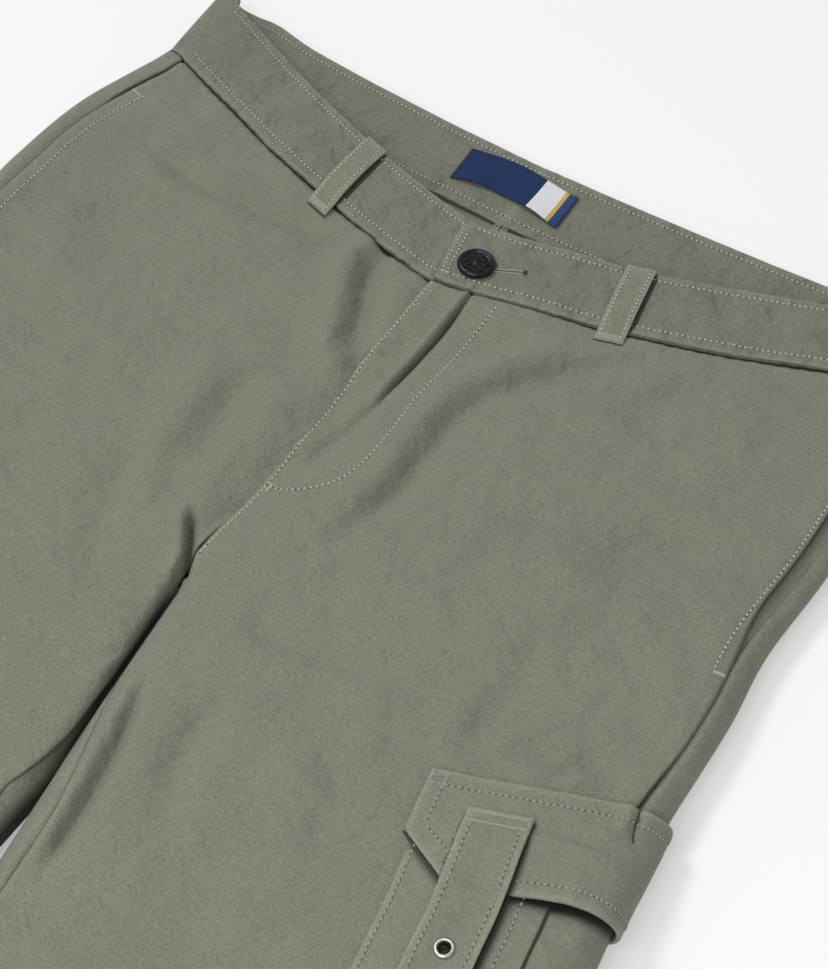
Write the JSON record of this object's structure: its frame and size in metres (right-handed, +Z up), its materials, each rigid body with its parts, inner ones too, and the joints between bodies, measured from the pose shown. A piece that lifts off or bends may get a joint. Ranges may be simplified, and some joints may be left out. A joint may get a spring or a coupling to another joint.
{
  "type": "cargo pants",
  "caption": "Green cotton twill cargo pants laid flat, front up, with a shank button, belt loops, slanted side pockets and flapped cargo pockets with an eyelet strap.",
  "frame": {"origin": "on the surface, under the middle of the laid garment's box", "axes": "+X towards the wearer's left, +Y up the garment to its waist, +Z up from the surface to the front of the garment"},
  "size_m": [0.6152, 1.0934, 0.0348],
  "materials": {
    "twill": "matt cotton twill, olive green, garment washed",
    "twill_inside": "inner side of the twill",
    "zip_tape": "woven tape",
    "gunmetal": "black, half gloss, worn on its rim",
    "nickel": "nickel plated",
    "woven_label": "woven satin label"
  },
  "bodies": {
    "root": {"front_left": "twill", "front_right": "twill", "back_left": "twill", "back_right": "twill", "waistband_left": "twill", "waistband_right": "twill", "belt_loop_front_left": "twill", "belt_loop_front_right": "twill", "belt_loop_back_left": "twill", "belt_loop_back_centre": "twill", "belt_loop_back_right": "twill", "fly_shield": "twill_inside", "zip": "zip_tape", "button": "gunmetal", "side_pocket_left": "twill", "side_pocket_right": "twill", "cargo_pocket_left": "twill", "cargo_pocket_right": "twill", "cargo_flap_left": "twill", "cargo_flap_right": "twill", "cargo_strap_left": "twill", "cargo_strap_right": "twill", "eyelet_left": "nickel", "eyelet_right": "nickel", "label": "woven_label"}
  },
  "joints": []
}
